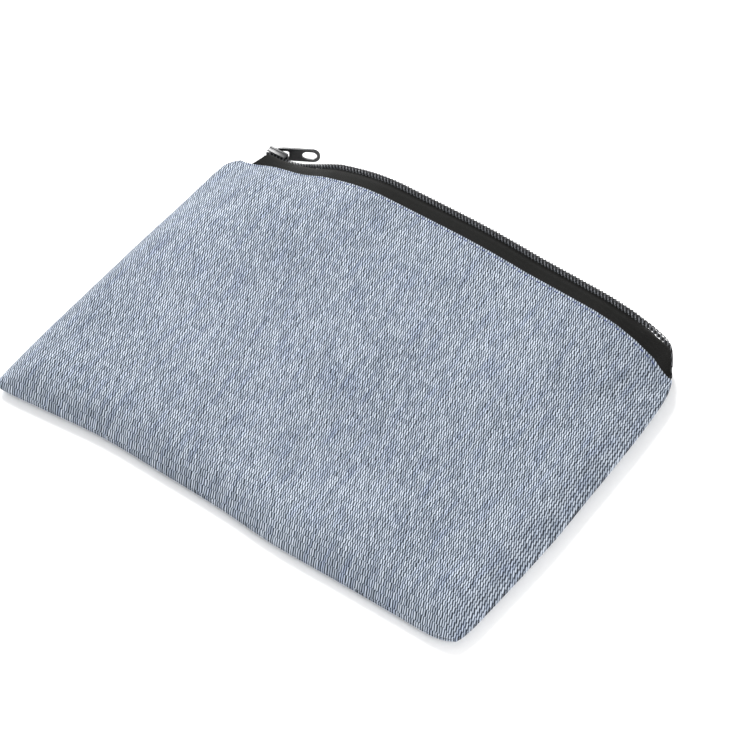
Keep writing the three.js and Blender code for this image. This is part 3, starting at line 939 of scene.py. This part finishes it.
def slider_blocks():
    blocks = [((0, 3.35, 0), (5.0, 0.55, 4.7)), ((0, -1.6, 0), (5.0, 0.5, 2.6))]
    blocks += [((0, 1.65, s * 4.3), (4.8, 1.25, 0.4)) for s in (-1, 1)]
    blocks += [((3.6, 0.85, 0), (1.2, 2.2, 0.3))]
    blocks += [((-4.35, 5.2, 0), (0.55, 1.7, 0.9)), ((1.8, 5.2, 0), (0.6, 1.7, 0.9))]
    blocks += [((-1.25, 6.7, 0), (3.65, 0.5, 0.9))]
    place = np.array([SLIDER_X, CHAIN_Y, CHAIN_Z])
    return [(tuple(np.array(c) + place), s) for c, s in blocks]


done(casting("slider_casting", slider_blocks(), 0.35, ENAMEL), "slider", "slider", "slider_body")


def rounded_outline(x0, x1, half, corner, steps=10):
    """A rounded rectangle as a closed list of points."""
    out = []
    near, far, side = x0 + corner, x1 - corner, half - corner
    for cx, cy, start in ((far, side, 0), (near, side, 90), (near, -side, 180), (far, -side, 270)):
        for k in range(steps + 1):
            a = math.radians(start + 90 * k / steps)
            out.append((cx + corner * math.cos(a), cy + corner * math.sin(a)))
    return out


def stamped_plate(name, outlines, thick, edge=0.25):
    """A flat stamping: the first outline is its edge, the rest are holes. Mesh in its own plane, mm."""
    curve = bpy.data.curves.new(name, "CURVE")
    curve.dimensions, curve.fill_mode = "2D", "BOTH"
    curve.extrude, curve.bevel_depth, curve.bevel_resolution = thick / 2 - edge, edge, 2
    for outline in outlines:
        spline = curve.splines.new("POLY")
        spline.points.add(len(outline) - 1)
        for point, (px, py) in zip(spline.points, outline):
            point.co = (px, py, 0, 1)
        spline.use_cyclic_u = True
    holder = bpy.data.objects.new(name, curve)
    bpy.context.scene.collection.objects.link(holder)
    mesh = bpy.data.meshes.new_from_object(holder.evaluated_get(bpy.context.evaluated_depsgraph_get()))
    points, faces = [tuple(v.co) for v in mesh.vertices], [tuple(p.vertices) for p in mesh.polygons]
    bpy.data.objects.remove(holder)
    return np.array(points), faces


tab_edge = rounded_outline(-0.35, 19.7, 3.55, 3.3)
hinge_eye, grip_eye = rounded_outline(1.0, 5.9, 2.35, 1.2), rounded_outline(11.5, 18.7, 2.6, 2.5)
plate_points, plate_faces = stamped_plate("tab_outline", [tab_edge, hinge_eye, grip_eye], 1.2)
c, s = math.cos(TAB_ANGLE), math.sin(TAB_ANGLE)
tab_hinge = np.array([SLIDER_X - 2.6, CHAIN_Y + 5.05, CHAIN_Z])
tab_axes = np.array([(c, s, 0), (0, 0, 1), (s, -c, 0)])  # along the tab, across it, off its face
placed = tab_hinge + plate_points @ tab_axes
done(mesh_piece("pull_tab_stamping", placed, plate_faces, ENAMEL), "pull_tab", "slider", "pull_tab")

# %% [markdown]
# ## Table, light and camera
# A white table under broad soft lights. The main light is high on the left, beyond the zip,
# so the weave and the rise of the front panel catch it. A weaker one fills from the near
# right. The camera looks down past the bottom right corner.


# %% Stage
def floor_plane(size=3.0):
    mesh = bpy.data.meshes.new("table_top")
    corners = [(-size, -size, 0), (size, -size, 0), (size, size, 0), (-size, size, 0)]
    mesh.from_pydata(corners, [], [(0, 1, 2, 3)])
    made = bpy.data.objects.new("table_top", mesh)
    bpy.context.scene.collection.objects.link(made)
    finish, tree, shader = material("white_paper_table", 0.9)
    shader.inputs["Base Color"].default_value = linear("#fbfbfb")
    mesh.materials.append(finish)


floor_plane()
world = bpy.data.worlds.new("soft_room")
world.use_nodes = True
world.node_tree.nodes["Background"].inputs["Color"].default_value = linear("#ffffff")
world.node_tree.nodes["Background"].inputs["Strength"].default_value = 0.62
bpy.context.scene.world = world


def area_light(name, place, target, size, power):
    lamp = bpy.data.lights.new(name, "AREA")
    lamp.shape, lamp.size, lamp.energy = "DISK", size, power
    made = bpy.data.objects.new(name, lamp)
    bpy.context.scene.collection.objects.link(made)
    made.location = place
    made.rotation_euler = (Vector(target) - Vector(place)).to_track_quat("-Z", "Y").to_euler()


area_light("main_softbox", (-1.2, 0.75, 1.2), (0, 0, 0), 1.0, 50)
area_light("fill_softbox", (1.2, -0.7, 1.0), (0, 0, 0), 1.2, 20)

AZIMUTH, ELEVATION, DISTANCE = math.radians(35.5), math.radians(47.8), 1.797
aim = Vector((0.0069, 0.0178, 0.0))
level = math.cos(ELEVATION)
back_off = Vector((math.sin(AZIMUTH) * level, -math.cos(AZIMUTH) * level, math.sin(ELEVATION)))
camera = bpy.data.objects.new("camera", bpy.data.cameras.new("camera"))
bpy.context.scene.collection.objects.link(camera)
camera.data.sensor_width, camera.data.lens = 36.0, 197.7
camera.data.clip_start, camera.data.clip_end = 0.05, 20
camera.location = aim + back_off * DISTANCE
camera.rotation_euler = (-back_off).to_track_quat("-Z", "Y").to_euler()
bpy.context.scene.camera = camera
bpy.context.scene.view_settings.view_transform = "Standard"
